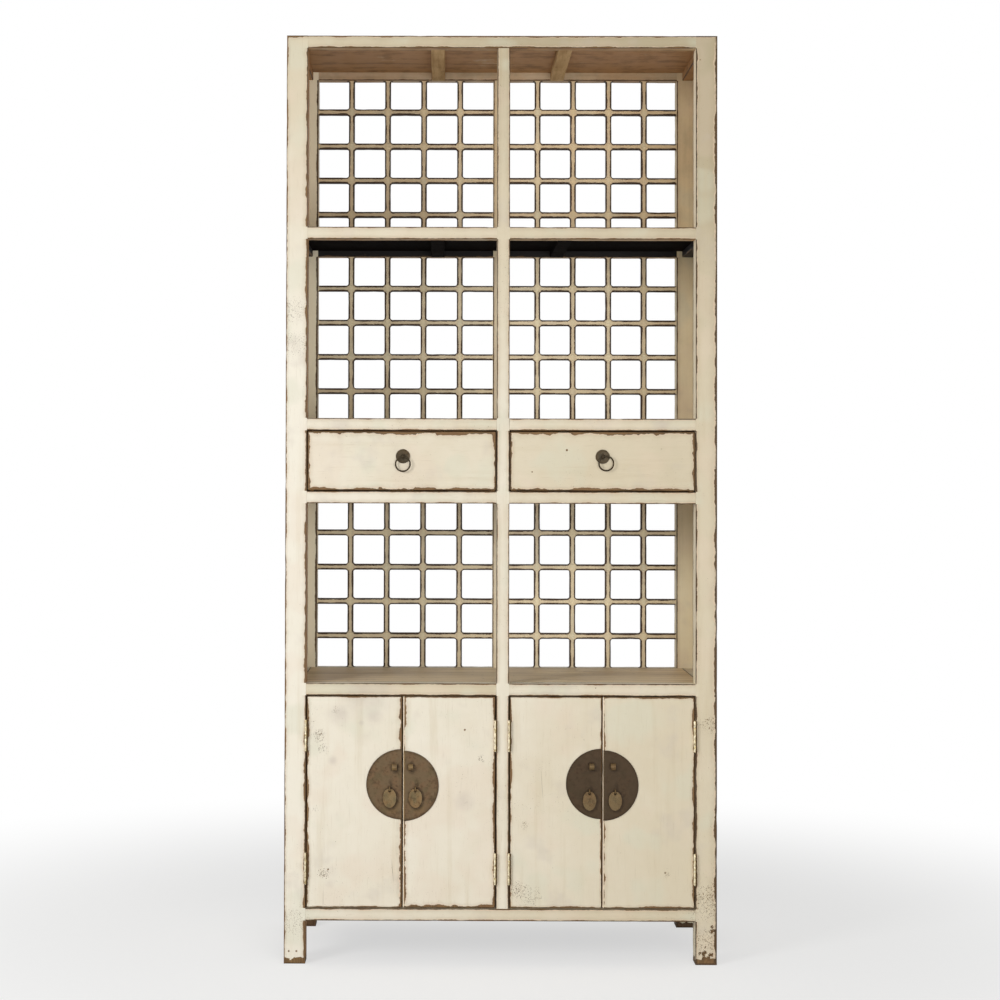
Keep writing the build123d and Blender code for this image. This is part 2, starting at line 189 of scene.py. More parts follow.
railNodes = ["top_front_rail", "shelf_front_rails", "drawer_top_front_rails",
             "drawer_bottom_front_rails", "cupboard_top_front_rails", "bottom_front_rail"]
railSpans = [(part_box(node)[0].z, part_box(node)[1].z) for node in railNodes]


def edgeDistance(f, joined):
    # how far a spot is from the nearest arris of its board: the middle one of its three distances
    fromLow = f.vector("MULTIPLY", f.vector("SUBTRACT", f.place, f.point("low")), f.point("easeLow"))
    fromHigh = f.vector("MULTIPLY", f.vector("SUBTRACT", f.point("high"), f.place), f.point("easeHigh"))
    if joined:
        height = f.axes(f.place)[2]
        rails = [f.maths("COMPARE", height, (low + high) / 2, (high - low) / 2) for low, high in railSpans]
        atRail = sum(rails[1:], rails[0])     # 1 where a rail meets an upright, so no arris there
        fromLow = f.vector("MULTIPLY_ADD", f.point("joinedLow"), atRail, fromLow)
        fromHigh = f.vector("MULTIPLY_ADD", f.point("joinedHigh"), atRail, fromHigh)
    x, y, z = f.axes(f.vector("MINIMUM", fromLow, fromHigh))
    least = f.maths("MINIMUM", x, y)
    most = f.maths("MAXIMUM", x, y)
    return f.maths("MAXIMUM", least, f.maths("MINIMUM", most, z))


def distanceTo(f, x, z):
    # how far a spot is from a point of the front; depth counts for a fifth
    away = f.vector("SUBTRACT", f.place, (x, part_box("front_left_post")[0].y, z))
    return f.vector("LENGTH", f.vector("MULTIPLY", away, (1, 0.2, 1))).output("Value")


def nearSpots(f, spots, softness):
    # 1 in the middle of each spot, out to softness times its radius, and 0 outside it
    found = None
    for x, z, radius in spots:
        spot = f.fade(distanceTo(f, x, z), radius, radius * softness)
        found = spot if found is None else f.maths("MAXIMUM", found, spot)
    return found


paintLook = {
    "light": (237, 230, 214),       # the freshest and best-lit paint, low on the left
    "warm": (215, 202, 175),        # yellowed paint, a little darkened with painted shade
    "agedAndShaded": (186, 172, 142),        # at the top right: yellowed most, and darkest with painted shade
    "stain": (198, 180, 144),
    "smudge": (196, 184, 172),
    "thin": (226, 198, 170),        # paint worn thin beside bare wood
    "glazeAndShade": (176, 134, 90),        # brown on the inner faces and undersides: partly old varnish and smoke, partly painted shade where little light reaches
    "dirt": (160, 136, 98),
    "darkGlazeAndShade": (112, 84, 54),
    "line": (84, 66, 42),           # a dark line along each arris: partly dirt, partly painted shade at the gaps and openings
    "cool": (212, 212, 190),        # faint greenish and rosy clouds in the paint
    "rosy": (226, 203, 182),
    "arrisHighlight": (240, 222, 196),        # a painted highlight on an arris that has kept its paint
    "blackShade": (14, 9, 8),             # painted shade: black on the faces just under a shelf
    "paintedLight": (250, 238, 210),       # painted light: a paler cream on faces that the lamps light too little
    "wood": (134, 104, 65),
    "redWood": (129, 96, 62),
    "deepWood": (74, 53, 31),
    "rim": (62, 45, 26),            # the dark line where paint stops
    "ageAndShadeAcross": 0.95,              # more yellow and darker to the right, per metre: real yellowing and painted shade
    "ageAndShadeUp": 0.95,                  # and upwards between these heights, the same
    "ageAndShadeFrom": 1.15,
    "ageAndShadeTo": 2.0,
    "roughness": 0.6,
    "step": 0.35 * mm,              # thickness of the paint
    "evenness": 0.0,                # 1 where the worn band is as wide all along
    "specks": [                     # x, z and radius of the places pricked with small chips
        (-0.440, 1.37, 0.05),
        (-0.438, 1.30, 0.05),
        (-0.380, 0.475, 0.022),
        (-0.372, 0.45, 0.02),
        (-0.388, 0.325, 0.012),
        (-0.040, 0.43, 0.014),
        (-0.345, 0.53, 0.014),
        (-0.370, 0.19, 0.02),
        (-0.432, 0.09, 0.05),
        (0.050, 0.29, 0.012),
        (0.040, 0.155, 0.03),
        (0.068, 0.145, 0.03),
        (0.348, 0.189, 0.012),
        (0.438, 0.13, 0.06),
        (0.434, 0.05, 0.05),
        (0.436, 0.50, 0.03),
    ],
    "dots": [                       # and of single chips
        (0.138, 1.077, 0.0028),
        (0.065, 1.031, 0.0018),
        (-0.361, 0.197, 0.0022),
        (0.345, 0.192, 0.002),
        (-0.443, 0.026, 0.0024),
        (-0.427, 0.026, 0.0024),
    ],
    "patches": [(0.432, 0.022, 0.034), (0.446, 0.075, 0.02), (-0.446, 0.006, 0.02)],     # flaked feet
    "smudges": [                    # grey fingermarks
        (-0.292, 0.504, 0.009),
        (-0.075, 0.34, 0.03),
        (-0.352, 0.425, 0.014),
        (-0.34, 0.522, 0.035),
        (-0.265, 0.522, 0.03),
        (-0.34, 1.13, 0.03),
        (0.336, 1.13, 0.03),
        (-0.28, 0.574, 0.09),
    ],
}
# lighter copies of the paint for the faces deep inside and the lattice: painted light where the lamps reach
# little
insideLook = dict(paintLook, light=(250, 240, 212), warm=(240, 224, 184), line=(66, 48, 30),
                  wood=(106, 80, 52), redWood=(102, 74, 48), evenness=0.5)
latticeLook = dict(paintLook, light=(245, 230, 194), warm=(230, 208, 166), agedAndShaded=(216, 192, 150),
                   wood=(82, 60, 39), redWood=(78, 55, 36), deepWood=(46, 32, 20), rim=(34, 24, 15),
                   line=(60, 44, 28), evenness=0.6, step=0.25 * mm,
                   specks=[], dots=[], patches=[], smudges=[])

paintClouds = {                     # scale, detail and roughness of each noise
    "wide": (6, 3, 0.5), "medium": (26, 3, 0.6), "small": (120, 2, 0.5), "fine": (420, 2, 0.5),
    "prick": (640, 1, 0.5), "tint": (9, 2, 0.5), "smudge": (11, 3, 0.6),
}
paintGrain = {"streak": (48, 4, 0.6), "hair": (420, 3, 0.6), "crack": (15, 1, 0.5)}     # along the board
paintGone = {                       # where each kind of bare spot starts, and where it is quite bare
    "worn": (-0.3 * mm, 0.3 * mm),
    "chips": (0.75, 0.77),
    "pricks": (0.79, 0.82),
    "feet": (0.70, 0.73),
    "faces": (0.98, 1.03),
    "patches": (0.74, 0.76),
}
paintTints = {                      # where each tint starts on its noise, where it is full, and its strength
    "cool": (0.46, 0.34, 0.35),
    "rosy": (0.54, 0.66, 0.2),
    "stain": (0.5, 0.78, 0.3),
    "dirt": (0.58, 0.75, 0.14),
    "smudge": (0.56, 0.74, 0.28),
}


def paintFinish(name, look, joined=False):
    f = Finish(name)
    colour = coloursOf(look)
    seeded, along = f.seeded(), f.along()
    wear, tone, bare, glazeAndShade = f.number("wear"), f.number("tone"), f.number("bare"), f.number("glazeAndShade")
    across, _, up = f.axes(f.place)
    wide, medium, small, fine, prick, tint, smudge = f.clouds(seeded, paintClouds)
    streak, hair, crack = f.clouds(along, paintGrain)
    # where the paint is gone: a band of uneven width along each arris, chips, feet and bare faces
    distance = edgeDistance(f, joined)
    even = look["evenness"]
    uneven = f.fade(medium, 0.34, 0.66) * 0.9 + small * 0.7 - 0.07
    band = wear * (even + (1 - even) * uneven) + (fine - 0.5) * (1.1 * mm)
    inside = band - distance     # how far a spot lies inside the worn band
    nearEdge = f.fade(distance, 14 * mm, 0.0)
    chips = small * 0.6 + fine * 0.4 + nearEdge * 0.06 + f.fade(wide, 0.5, 0.65) * 0.02
    pricks = prick + f.fade(wide, 0.52, 0.66) * 0.05 + nearEdge * 0.04
    if look["specks"]:
        pricks = pricks + nearSpots(f, look["specks"], 0.3) * 0.15
    feet = small * 0.5 + medium * 0.5 + f.fade(up, 28 * mm, 0.0) * 0.42
    faces = bare + medium * 0.7 + small * 0.3
    gone = f.fade(inside, *paintGone["worn"])
    for kind, amount in (("chips", chips), ("pricks", pricks), ("feet", feet), ("faces", faces)):
        gone = f.maths("MAXIMUM", gone, f.fade(amount, *paintGone[kind]))
    if look["dots"]:
        gone = f.maths("MAXIMUM", gone, nearSpots(f, look["dots"], 0.6))
    if look["patches"]:
        patches = small * 0.7 + fine * 0.3 + nearSpots(f, look["patches"], 0.2) * 0.24
        patches = f.fade(patches, *paintGone["patches"])
        gone = f.maths("MAXIMUM", gone, patches)
    fromLeft = f.axes(f.vector("SUBTRACT", f.place, f.point("low")))[0]
    # a painted highlight along the left arris of the right-hand doors, which also keeps its paint
    arrisHighlight = f.fade(fromLeft, 2.8 * mm, 2.2 * mm) * f.number("arrisHighlight")
    gone = gone * (1 - arrisHighlight)
    # the paint
    # the paint yellows and darkens to the right and upwards: partly real yellowing, partly painted shade
    # where the light falls off
    ageAndShade = tone + across * look["ageAndShadeAcross"] + f.fade(up, look["ageAndShadeFrom"], look["ageAndShadeTo"]) * look["ageAndShadeUp"]
    ageAndShade = ageAndShade + (wide - 0.5) * 0.5 + (medium - 0.5) * 0.3
    paint = f.mix(f.fade(ageAndShade, -0.1, 1.1), colour["light"], colour["warm"])
    paint = f.mix(f.fade(ageAndShade, 0.95, 2.0), paint, colour["agedAndShaded"])
    clouds = {"cool": tint, "rosy": tint, "stain": streak, "dirt": hair, "smudge": smudge}
    for kind, cloud in clouds.items():
        start, end, strength = paintTints[kind]
        paint = f.mix(f.fade(cloud, start, end) * strength, paint, colour[kind])
    if look["smudges"]:
        paint = f.mix(nearSpots(f, look["smudges"], 0.1) * medium * 0.8, paint, colour["smudge"])
    paint = f.mix(f.fade(inside, -10 * mm, 0.0) * 0.2, paint, colour["dirt"])
    besideWood = f.fade(f.maths("ABSOLUTE", inside + 1.2 * mm), 1.1 * mm, 0.3 * mm)
    paint = f.mix(besideWood * small * 0.9, paint, colour["thin"])
    # painted light: paler cream on faces the lamps reach too little
    paint = f.mix(f.number("paintedLight"), paint, colour["paintedLight"])
    # inner faces and undersides go brown: partly glaze, partly painted shade
    browned = glazeAndShade * f.fade(wide + streak * 0.5 + small * 0.2, 0.35, 1.15)
    brown = f.mix(f.fade(medium * 0.6 + streak * 0.6, 0.56, 0.76) * 0.6, colour["glazeAndShade"], colour["darkGlazeAndShade"])
    paint = f.mix(f.maths("MINIMUM", browned * 1.3, 1.0), paint, brown)
    # a dark line along each arris: partly dirt, partly painted shade
    lined = f.fade(distance + (small - 0.5) * (3 * mm), 3.2 * mm, 0.7 * mm)
    paint = f.mix(lined * 0.85, paint, colour["line"])
    paint = f.mix(arrisHighlight, paint, colour["arrisHighlight"])
    # painted shade: black just under the shelf
    paint = f.mix(f.number("blackShade"), paint, colour["blackShade"])
    cracks = f.fade(f.maths("ABSOLUTE", crack - 0.5), 0.003, 0.0008) * f.fade(streak + wide, 1.22, 1.3)
    paint = f.mix(cracks * 0.6, paint, colour["deepWood"])
    # the wood
    wood = f.mix(f.fade(hair + streak * 0.5, 0.45, 1.0), colour["deepWood"], colour["wood"])
    wood = f.mix(f.fade(medium, 0.45, 0.65) * 0.6, wood, colour["redWood"])
    wood = f.mix(f.fade(f.maths("ABSOLUTE", inside), 1.0 * mm, 0.2 * mm) * 0.75, wood, colour["rim"])
    if look["patches"]:
        wood = f.mix(patches * 0.45, wood, colour["deepWood"])
    nearArris = f.fade((distance + (fine - 0.5) * (2 * mm)) / f.number("rimWidth"), 1.4, 0.5)
    wood = f.mix(nearArris * 0.8, wood, colour["rim"])
    height = 1.0 - gone + hair * 0.12 + streak * 0.1 - cracks * 0.3
    roughness = look["roughness"] - gone * 0.05 + (medium - 0.5) * 0.2
    return f.surface(f.mix(gone, paint, wood), roughness, height, look["step"], Specular_IOR_Level=0.28)


woodLook = {
    "light": (186, 148, 106),
    "dark": (132, 98, 64),
    "shade": (12, 7, 6),          # undersides that never see the light
    "stained": (150, 122, 80),    # along the middle of a shelf
    "stain": 0.0,                 # how strong that is
    "stainAt": 0.015,             # its place from front to back, and its reach
    "stainReach": 0.07,
    "stainFull": 0.01,
    "depth": 0.25 * mm,           # of the grain
    "roughness": 0.6,
    "specular": 0.02,
}
shelfLook = dict(woodLook, light=(250, 228, 190), dark=(220, 194, 156), stain=0.18, roughness=0.5)
battenLook = dict(woodLook, light=(214, 184, 140), dark=(172, 140, 100))
woodGrain = {"grain": (60, 5, 0.6, 0.4), "pores": (500, 2, 0.5)}     # along the board
woodClouds = {"wide": (7, 3, 0.5), "spots": (60, 4, 0.65)}


def woodFinish(name, look):
    # bare wood: bare is 1 on the faces that show, and tone says how light the others are
    f = Finish(name)
    colour = coloursOf(look)
    grain, pores = f.clouds(f.along(), woodGrain)
    wide, spots = f.clouds(f.seeded(), woodClouds)
    top = f.mix(f.fade(grain + (wide - 0.5) * 0.6, 0.3, 0.7), colour["dark"], colour["light"])
    top = f.mix(f.fade(pores, 0.55, 0.75) * 0.5, top, colour["dark"])
    top = f.mix(f.fade(spots, 0.6, 0.75) * 0.4, top, colour["shade"])
    if look["stain"]:
        behind = f.axes(f.place)[1] - look["stainAt"] + (wide - 0.5) * 0.1
        stained = f.fade(f.maths("ABSOLUTE", behind), look["stainReach"], look["stainFull"])
        top = f.mix(stained * look["stain"], top, colour["stained"])
    shown = f.maths("MAXIMUM", f.number("tone"), f.number("bare"))
    height = grain * 0.5 - f.fade(pores, 0.5, 0.8) * 0.5
    roughness = 0.9 + f.number("bare") * (look["roughness"] - 0.9) + (wide - 0.5) * 0.25
    return f.surface(f.mix(shown, colour["shade"], top), roughness, height, look["depth"],
                     Specular_IOR_Level=look["specular"])


brassLooks = {
    "aged_brass": {"base": (104, 86, 63), "warm": (107, 84, 60), "dull": (94, 80, 56), "dark": (52, 39, 26),
                   "gold": (150, 122, 76), "metallic": 0.4, "roughness": 0.5},
    "leaf_brass": {"base": (131, 111, 78), "warm": (131, 104, 70), "dull": (107, 95, 68),
                   "dark": (60, 46, 31), "gold": (160, 132, 82), "metallic": 0.5, "roughness": 0.45},
    "dark_brass": {"base": (84, 73, 55), "warm": (92, 75, 53), "dull": (70, 62, 48), "dark": (36, 28, 19),
                   "gold": (124, 104, 70), "metallic": 0.6, "roughness": 0.42},
    "hinge_brass": {"base": (190, 170, 122), "warm": (176, 150, 100), "dull": (150, 130, 90),
                    "dark": (78, 58, 30), "gold": (250, 240, 212), "metallic": 0.5, "roughness": 0.4},
}
brassClouds = {"wide": (38, 4, 0.6), "small": (170, 3, 0.6), "fine": (900, 2, 0.5), "patch": (60, 3, 0.5)}


def brassFinish(name, look):
    # shade darkens a whole fitting, edge its rim and a hinge knuckle's right side with painted shadow, and
    # painted shadow falls below and right of each pull and staple
    f = Finish(name)
    colour = coloursOf(look)
    wide, small, fine, patch = f.clouds(f.seeded(), brassClouds)
    metal = f.mix(f.fade(wide, 0.4, 0.62), colour["base"], colour["warm"])
    metal = f.mix(f.fade(patch, 0.48, 0.68) * 0.8, metal, colour["dull"])
    metal = f.mix(f.fade(small + (wide - 0.5) * 0.8, 0.5, 0.8) * 0.45, metal, colour["dark"])
    # rubbed brass, and painted highlights: a hinge knuckle's left side and a plate's meeting edge
    metal = f.mix(f.number("rubbedAndHighlit") * f.fade(small, 0.3, 0.6) * 0.6, metal, colour["gold"])
    metal = f.mix(f.number("shade"), metal, colour["dark"])
    # darker rims of the plates, and painted shadow on a hinge knuckle's right side
    metal = f.mix(f.number("edge") * 0.6, metal, colour["dark"])
    # painted shadow below and to the right of each pull and staple
    metal = f.mix(f.number("paintedShadow") * f.fade(small, 0.2, 0.55) * 0.85, metal, colour["dark"])
    pits = f.fade(fine, 0.6, 0.72) * f.fade(small, 0.42, 0.6)
    metal = f.mix(pits * 0.6, metal, colour["dark"])
    roughness = look["roughness"] + (small - 0.5) * 0.4
    height = small * 0.5 + wide * 0.8 - pits * 0.4
    return f.surface(metal, roughness, height, 0.3 * mm, Metallic=look["metallic"], Specular_IOR_Level=0.2)


finishes = {
    "cream": paintFinish("creamPaint", paintLook),
    "creamUpright": paintFinish("creamPaintUprights", paintLook, joined=True),
    "creamInside": paintFinish("creamPaintInside", insideLook, joined=True),
    "lattice": paintFinish("latticePaint", latticeLook),
    "wood": woodFinish("bareWood", woodLook),
    "shelf": woodFinish("shelfWood", shelfLook),
    "batten": woodFinish("battenWood", battenLook),
}
for brassName, brassLook in brassLooks.items():
    finishes[brassName] = brassFinish(brassName, brassLook)
print("finishes:", len(finishes))


weld = 0.001 * mm     # corners nearer than this are one
bodyOf = {node: body for body, nodes in frame["record"]["behaviour"]["bodies"].items() for node in nodes}


def solidsOf(node):
    # a node's triangles come solid by solid, and a solid ends where its surface closes
    shown = frame["nodes"][node].data
    spot = [tuple(round(c / weld) for c in v.co) for v in shown.vertices]
    solids, openEdges, current = [], set(), []
    for face in shown.polygons:
        ring = [spot[i] for i in face.vertices]
        current.append([shown.vertices[i].co for i in face.vertices])
        for edge in zip(ring, ring[1:] + ring[:1]):
            back = edge[::-1]
            openEdges.remove(back) if back in openEdges else openEdges.add(edge)
        if not openEdges:
            solids.append(current)
            current = []
    return solids


def mergedSolid(triangles, flatness):
    # one solid without doubles, its flat faces whole again; flatness is in degrees
    bm = bmesh.new()
    for corners in triangles:
        bm.faces.new([bm.verts.new(corner) for corner in corners])
    bmesh.ops.remove_doubles(bm, verts=bm.verts, dist=weld)
    bmesh.ops.dissolve_limit(bm, angle_limit=math.radians(flatness), verts=bm.verts, edges=bm.edges)
    return bm


def boxOf(bm):
    low = Vector([min(v.co[i] for v in bm.verts) for i in range(3)])
    high = Vector([max(v.co[i] for v in bm.verts) for i in range(3)])
    return low, high


def breakEdges(bm, edges, width):
    bmesh.ops.bevel(bm, geom=edges, offset=width, affect="EDGES", segments=2, profile=0.5, material=-1,
                    clamp_overlap=True)


def cutAt(bm, axis, value):
    normal = Vector([i == axis for i in range(3)])
    everything = bm.verts[:] + bm.edges[:] + bm.faces[:]
    bmesh.ops.bisect_plane(bm, geom=everything, dist=weld, plane_co=normal * value, plane_no=normal)


def cutAcross(bm, axis, low, high, step):
    count = int((high[axis] - low[axis]) / step)
    for i in range(1, count):
        cutAt(bm, axis, low[axis] + (high[axis] - low[axis]) * i / count)


def arrises(bm, low, high):
    # the edges that lie on an edge of the board's box
    near = 10 * weld

    def atEnd(value, axis):
        return abs(value - low[axis]) < near or abs(value - high[axis]) < near
    found = []
    for edge in bm.edges:
        a, b = edge.verts[0].co, edge.verts[1].co
        along = [i for i in range(3) if abs(a[i] - b[i]) > near]
        across = [i for i in range(3) if i not in along]
        if len(along) == 1 and all(atEnd(a[i], i) for i in across):
            found.append(edge)
    return found


def planeByHand(bm, low, high, longest, look, seed):
    # faces waver and arrises are dented, always inwards
    reach = look["round"] * 1.05
    for v in bm.verts:
        ends = []
        for axis in range(3):
            if axis != longest and v.co[axis] < low[axis] + reach:
                ends.append((axis, 1))
            elif axis != longest and v.co[axis] > high[axis] - reach:
                ends.append((axis, -1))
        wavy = noise.noise(v.co * look["waverScale"] + seed) * 0.5 + 0.5
        dent = 0
        if len(ends) > 1:
            dent = max(0, noise.noise(v.co * look["dentScale"] + seed * 2) - look["dentFrom"])
        for axis, sign in ends:
            v.co[axis] += sign * (look["waver"] * wavy + look["dent"] * dent)


def facing(normal):
    # the side that a face looks to
    axis = max(range(3), key=lambda i: abs(normal[i]))
    return (("left", "right"), ("front", "back"), ("down", "up"))[axis][normal[axis] > 0]


def amountAt(amount, place):
    # an amount that is the same all over, or goes from one at the floor to another at the top
    if isinstance(amount, tuple):
        bottom, top = amount
        return bottom + (top - bottom) * place.z / cadHigh.z
    return amount(place) if callable(amount) else amount


def joinMeshes(parts, name):
    whole = bmesh.new()
    for bm in parts:
        part = bpy.data.meshes.new("part")
        bm.to_mesh(part)
        whole.from_mesh(part)
        bpy.data.meshes.remove(part)
        bm.free()
    mesh = bpy.data.meshes.new(name)
    whole.to_mesh(mesh)
    whole.free()
    return mesh


def seedFor(node, index):
    # a place of its own in the noise for each solid
    word = sum(ord(letter) * (i + 3) for i, letter in enumerate(node)) + 101 * index
    return Vector([math.modf(word * step)[0] * 7 for step in (0.7548, 0.5698, 0.3247)])


fillet = {
    "radius": 4.5 * mm,                          # paint that has gathered in the lattice's corners
    "cuts": (0.0, 0.07, 0.18, 0.33, 0.52, 0.75, 1.0),     # where its curve is cut, closer where it bends more
    "under": 1.2 * mm,                           # how far it reaches under the other bar
    "setBack": 0.5 * mm,                         # and how far behind that bar's face
    "socket": 8 * mm,                            # the bars' ends inside the frame
    "sideDepth": 1.3 * mm,                       # what counts as a bar's side, rounded arrises with it
}


def filletAt(place, spans):
    # how far the paint stands out beside a bar, near the spans where others cross it
    away = min(max(start - place, place - end, 0) for start, end in spans)
    left = fillet["radius"] - min(away, fillet["radius"])
    return fillet["radius"] - math.sqrt(fillet["radius"] ** 2 - left ** 2)


def crossingSpans(boxes, index, longest):
    # where the lattice bars that run the other way, and the frame, meet this bar
    low, high = boxes[index]
    start, end = low[longest], high[longest]
    spans = [(start, start + fillet["socket"]), (end - fillet["socket"], end)]
    for otherLow, otherHigh in boxes:
        if otherHigh[longest] - otherLow[longest] < (end - start) / 2:
            spans.append((otherLow[longest], otherHigh[longest]))
    return spans


def cutFillets(bm, spans, longest):
    for start, end in spans:
        for share in fillet["cuts"]:
            cutAt(bm, longest, start - share * fillet["radius"])
            cutAt(bm, longest, end + share * fillet["radius"])
        cutAt(bm, longest, start + fillet["under"])
        cutAt(bm, longest, end - fillet["under"])


def addFillets(bm, spans, low, high):
    # the uprights' sides flare out where a level bar crosses
    middle = (low.x + high.x) / 2
    for v in bm.verts:
        amount = filletAt(v.co.z, spans)
        depthIn = max(min(v.co.z - start, end - v.co.z) for start, end in spans)
        if depthIn > fillet["under"] + weld:
            continue
        isSide = abs(v.co.x - middle) > (high.x - low.x) / 2 - fillet["sideDepth"]
        if isSide and amount > 0:
            v.co.x += amount if v.co.x > middle else -amount
            if depthIn > -weld and v.co.y < (low.y + high.y) / 2:
                v.co.y += fillet["setBack"]


def store(bm, kind, name, valueOf):
    # a value at each vertex: kind is float or float_vector
    layer = getattr(bm.verts.layers, kind).new(name)
    for v in bm.verts:
        v[layer] = valueOf(v.co)


def storeOnFaces(bm, name, look):
    layer = bm.faces.layers.float.new(name)
    for face in bm.faces:
        amount = look[name].get(facing(face.normal), 0)
        face[layer] = amountAt(amount, face.calc_center_median())


def boardMesh(node, look):
    solids = [mergedSolid(triangles, flatness=1) for triangles in solidsOf(node)]
    boxes = [boxOf(bm) for bm in solids]
    for index, bm in enumerate(solids):
        low, high = boxes[index]
        sizes = high - low
        longest = max(range(3), key=lambda i: sizes[i])
        seed = seedFor(node, index)
        spans = crossingSpans(boxes, index, longest) if look["fillets"] else []
        cutAcross(bm, longest, low, high, look["cut"])
        cutFillets(bm, spans, longest)
        breakEdges(bm, arrises(bm, low, high), look["round"])
        planeByHand(bm, low, high, longest, look, seed)
        if spans and longest == 2:
            addFillets(bm, spans, low, high)
        bm.normal_update()
        side = Vector([i not in (longest, 1) for i in range(3)])

        def widened(place):
            # by how much the paint in the corners makes a bar wider there
            return side * filletAt(place[longest], spans) if spans else Vector()
        store(bm, "float_vector", "low", lambda place: low - widened(place))
        store(bm, "float_vector", "high", lambda place: high + widened(place))
        constants = {"seed": seed, "stretch": [look["stretch"] if i == longest else 1 for i in range(3)],
                     "joinedLow": look["joined"][0], "joinedHigh": look["joined"][1],
                     "easeLow": look["ease"][0], "easeHigh": look["ease"][1]}
        for name, value in constants.items():
            store(bm, "float_vector", name, lambda place: Vector(value))
        for name in ("wear", "rimWidth", "arrisHighlight"):
            store(bm, "float", name, lambda place: look[name])
        shift = look["vary"] * math.sin(40 * seed.x)     # one board is a little yellower than the next
        store(bm, "float", "tone", lambda place: amountAt(look["tone"], place) + shift)
        for name in ("bare", "glazeAndShade", "paintedLight", "blackShade"):
            storeOnFaces(bm, name, look)
    return joinMeshes(solids, node)


def addPiece(node, mesh, finish):
    # a dressed piece stands for its node and rides as that does
    mesh.materials.append(finishes[finish])
    piece = bpy.data.objects.new(node + "_dressed", mesh)
    bpy.context.scene.collection.objects.link(piece)
    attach(piece, bodyOf[node])
    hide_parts(node)


nowhere = (0, 0, 0)
board = {
    "cut": 18 * mm,                     # length of the steps that it is cut into, to be bent by hand
    "round": 1.4 * mm, "waver": 0.3 * mm, "waverScale": 14,
    "dent": 1.6 * mm, "dentScale": 55, "dentFrom": 0.25,
    "fillets": False,
    "wear": 2.6 * mm, "rimWidth": 1.2 * mm, "arrisHighlight": 0, "tone": 0.4,
    "vary": 0.1,                        # how much the tone differs from board to board
    "stretch": 0.06,                    # how much less the grain changes along the board
    "bare": {}, "glazeAndShade": {}, "paintedLight": {}, "blackShade": {},      # amounts on the faces that look each way
    "joined": (nowhere, nowhere),       # 1 at the sides, low and high, where rails meet it
    "ease": ((1, 1, 1), (1, 1, 1)),     # over 1 where an edge has worn less, at its low and its high end
}
blackShadeDepth = 30 * mm      # how far the black painted shade reaches down from the shelf's top
battenFrom = 18.5 * mm   # from a door's front to its battens


def underShelf(place):
    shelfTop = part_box("shelf_board")[1].z
    return shelfTop - blackShadeDepth < place.z < shelfTop


def onBatten(place):
    # the doors' battens stand behind their boards
    return place.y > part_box("left_cupboard_left_door")[0].y + battenFrom


